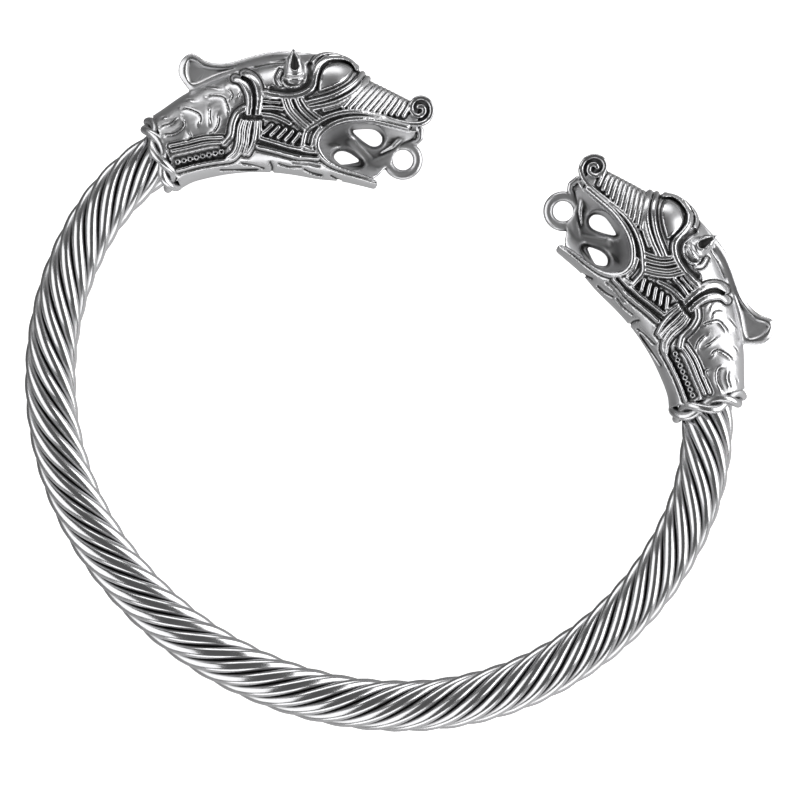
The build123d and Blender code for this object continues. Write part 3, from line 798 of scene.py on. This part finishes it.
def strand_mesh(number):
    """Points, faces and sunken values of one wire of the cable; the values are painted shade, darkest on
    the side that faces the cable's middle.
    """
    start = -(run_length(side_runs["left"]) + socket_run)
    length = run_length(side_runs["right"]) + socket_run - start
    steps = int(length / lay_length * stations_per_turn)
    up = np.array([0.0, 0.0, 1.0])
    turns = np.arange(strand_sides) * 2 * pi / strand_sides
    # Painted shade round each wire: dark on the side facing the cable's middle, bright on the outer side.
    shade = np.clip((wire_shade_start - np.cos(turns)) / wire_shade_span, wire_shade_least, 1)
    points = []
    for step in range(steps + 1):
        distance = start + length * step / steps
        middle, forward, outward = hoop_frame(distance)
        angle = 2 * pi * (distance / lay_length + number / strand_count)
        spoke = outward * cos(angle) + up * sin(angle)
        around = up * cos(angle) - outward * sin(angle)
        advance = forward * lay_length + around * (2 * pi * helix_radius)
        across = np.cross(advance / np.linalg.norm(advance), spoke)
        circle = np.outer(np.cos(turns), spoke) + np.outer(np.sin(turns), across)
        points.extend(middle + spoke * helix_radius + strand_diameter / 2 * circle)
    faces = []
    for step in range(steps):
        base = step * strand_sides
        for side in range(strand_sides):
            other = (side + 1) % strand_sides
            after = base + strand_sides
            faces.append((base + side, base + other, after + other, after + side))
    faces.append(tuple(range(strand_sides))[::-1])
    faces.append(tuple(steps * strand_sides + side for side in range(strand_sides)))
    return np.array(points), faces, np.tile(shade, steps + 1)


def mapped(tree, source, to_range, from_range=(0.0, 1.0)):
    """A node's output mapped from one range of values to another."""
    node = tree.nodes.new("ShaderNodeMapRange")
    node.inputs["From Min"].default_value, node.inputs["From Max"].default_value = from_range
    node.inputs["To Min"].default_value, node.inputs["To Max"].default_value = to_range
    tree.links.new(source, node.inputs["Value"])
    return node.outputs["Result"]


def steel(name, roughness, dark, grain):
    """Polished cast or drawn steel, darkened by the hollow attribute: patina and painted shade in
    recesses, painted shade in the mouth, the ear's hollow and the wires' inner sides.
    """
    material = bpy.data.materials.new(name)
    material.use_nodes = True
    tree = material.node_tree
    nodes, links = tree.nodes, tree.links
    shader = nodes["Principled BSDF"]
    shader.inputs["Metallic"].default_value = 1.0
    shader.inputs["IOR"].default_value = steel_ior
    depth = nodes.new("ShaderNodeAttribute")
    depth.attribute_name = "hollow"
    ramp = nodes.new("ShaderNodeValToRGB")
    bright, shaded = ramp.color_ramp.elements
    bright.position, shaded.position = SHADE_RAMP
    bright.color = STEEL_COLOUR
    shaded.color = (dark, dark, dark, 1)
    links.new(depth.outputs["Fac"], ramp.inputs["Fac"])
    links.new(ramp.outputs["Color"], shader.inputs["Base Color"])
    place = nodes.new("ShaderNodeTexCoord")
    noise = nodes.new("ShaderNodeTexNoise")
    noise.inputs["Scale"].default_value = grain
    noise.inputs["Detail"].default_value = grain_detail
    links.new(place.outputs["Object"], noise.inputs["Vector"])
    rough_range = (roughness - roughness_below, roughness + roughness_above)
    rough = mapped(tree, noise.outputs["Fac"], rough_range)
    worn = nodes.new("ShaderNodeMath")
    worn.operation = "MULTIPLY_ADD"
    worn.use_clamp = True
    worn.inputs[1].default_value = recess_roughness
    links.new(depth.outputs["Fac"], worn.inputs[0])
    links.new(rough, worn.inputs[2])
    links.new(worn.outputs["Value"], shader.inputs["Roughness"])
    bump = nodes.new("ShaderNodeBump")
    bump.inputs["Strength"].default_value = grain_bump
    bump.inputs["Distance"].default_value = grain_height
    links.new(noise.outputs["Fac"], bump.inputs["Height"])
    links.new(bump.outputs["Normal"], shader.inputs["Normal"])
    return material


def core_painted_shade():
    """Dull steel of the core, painted near black as the shade in the slits between the wires, where alone
    it shows.
    """
    material = bpy.data.materials.new("core_painted_shade")
    material.use_nodes = True
    shader = material.node_tree.nodes["Principled BSDF"]
    shader.inputs["Metallic"].default_value = 1.0
    shader.inputs["Roughness"].default_value = core_roughness
    shader.inputs["Base Color"].default_value = CORE_PAINTED_SHADE
    return material


def pale_floor():
    """A pale floor in line with the two lowest places that the ring rests on."""
    material = bpy.data.materials.new("pale_floor")
    material.use_nodes = True
    shader = material.node_tree.nodes["Principled BSDF"]
    shader.inputs["Base Color"].default_value = FLOOR_COLOUR
    shader.inputs["Roughness"].default_value = floor_roughness
    shader.inputs["Specular IOR Level"].default_value = floor_gloss
    shader.inputs["Emission Color"].default_value = (1, 1, 1, 1)
    shader.inputs["Emission Strength"].default_value = floor_glow
    slope = (floor_back[1] - floor_front[1]) / (floor_back[0] - floor_front[0])
    points = []
    for x, y in ((-1, -1), (1, -1), (1, 1), (-1, 1)):
        far = y * floor_size / 2
        height = floor_front[1] + (far - floor_front[0]) * slope
        points.append((x * floor_size / 2 * MM, far * MM, height * MM))
    mesh = bpy.data.meshes.new("floor")
    mesh.from_pydata(points, [], [(0, 1, 2, 3)])
    mesh.materials.append(material)
    floor = bpy.data.objects.new("floor", mesh)
    bpy.context.scene.collection.objects.link(floor)
    floor.visible_glossy = False
    floor.visible_diffuse = False


def studio_walls():
    """A dark ceiling, grey walls, and a ground that is pale at the near right and dark at the far left."""
    world = bpy.data.worlds.new("studio")
    world.use_nodes = True
    tree = world.node_tree
    nodes, links = tree.nodes, tree.links
    place = nodes.new("ShaderNodeTexCoord")
    split = nodes.new("ShaderNodeSeparateXYZ")
    links.new(place.outputs["Generated"], split.inputs["Vector"])
    pale_side = nodes.new("ShaderNodeVectorMath")
    pale_side.operation = "DOT_PRODUCT"
    pale_side.inputs[1].default_value = (cos(radians(pale_azimuth)), sin(radians(pale_azimuth)), 0)
    links.new(place.outputs["Generated"], pale_side.inputs[0])
    mix = nodes.new("ShaderNodeMix")
    links.new(mapped(tree, split.outputs["Z"], (0.0, 1.0), HORIZON_RANGE), mix.inputs["Factor"])
    links.new(mapped(tree, pale_side.outputs["Value"], GROUND_LIGHT, GROUND_RANGE), mix.inputs["A"])
    links.new(mapped(tree, split.outputs["Z"], SKY_LIGHT, SKY_RANGE), mix.inputs["B"])
    links.new(mix.outputs["Result"], nodes["Background"].inputs["Color"])
    bpy.context.scene.world = world


def softbox(name, azimuth, elevation, distance, width, height, power):
    """A soft light facing the ring."""
    lamp = bpy.data.lights.new(name, "AREA")
    lamp.shape = "RECTANGLE"
    lamp.size = width
    lamp.size_y = height
    lamp.energy = power
    holder = bpy.data.objects.new(name, lamp)
    round_angle, lift = radians(azimuth), radians(elevation)
    direction = Vector((cos(round_angle) * cos(lift), sin(round_angle) * cos(lift), sin(lift)))
    holder.location = direction * distance
    holder.rotation_euler = direction.to_track_quat("Z", "Y").to_euler()
    bpy.context.scene.collection.objects.link(holder)


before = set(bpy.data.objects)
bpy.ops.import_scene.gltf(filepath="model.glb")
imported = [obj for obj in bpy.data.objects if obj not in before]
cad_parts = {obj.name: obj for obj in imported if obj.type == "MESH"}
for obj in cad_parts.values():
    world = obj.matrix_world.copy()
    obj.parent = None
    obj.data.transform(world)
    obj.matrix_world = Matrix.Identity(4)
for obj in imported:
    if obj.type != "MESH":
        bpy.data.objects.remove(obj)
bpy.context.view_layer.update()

cast_steel = steel("cast_steel", roughness=0.34, dark=0.07, grain=900.0)
wire_steel = steel("wire_steel", roughness=0.26, dark=0.02, grain=700.0)
# The core gets the near-black painted shade.
core_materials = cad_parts["core"].data.materials
core_materials.clear()
core_materials.append(core_painted_shade())

points, faces, hollow = head_mesh()
for side, flip in (("left", False), ("right", True)):
    x, y, heading = walk(side_runs[side], run_length(side_runs[side]))
    turned_over = Matrix.Rotation(pi, 4, "Y") if flip else Matrix.Identity(4)
    place = Matrix.Translation((x if flip else -x, y, 0)) @ turned_over
    place = place @ Matrix.Rotation(radians(head_angle), 4, "Z")
    turned = points @ np.array(place.to_3x3()).T + np.array(place.translation)
    head = thinned(add_mesh(f"cast_head_{side}", turned * MM, faces, hollow, cast_steel), head_triangles)
    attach(head, "root")
    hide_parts(f"head_{side}")

for number in range(strand_count):
    places, skin, sunken = strand_mesh(number)
    wire = add_mesh(f"wire_{number + 1}", places * MM, skin, sunken, wire_steel)
    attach(wire, "root")
    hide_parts(f"strand_{number + 1}")

pale_floor()
for name, values in SOFTBOXES.items():
    softbox(name, *values)
studio_walls()
bpy.context.scene.view_settings.view_transform = "Standard"

camera_data = bpy.data.cameras.new("camera")
camera_data.sensor_width = sensor
camera_data.lens = sensor * camera_height / photo_field
camera_data.clip_end = 20.0
camera = bpy.data.objects.new("camera", camera_data)
turn = radians(photo_turn)
camera.location = (
    (photo_centre[0] * cos(turn) - photo_centre[1] * sin(turn)) * MM,
    (photo_centre[0] * sin(turn) + photo_centre[1] * cos(turn)) * MM,
    camera_height * MM,
)
camera.rotation_euler = (0, 0, turn)
bpy.context.scene.collection.objects.link(camera)
bpy.context.scene.camera = camera
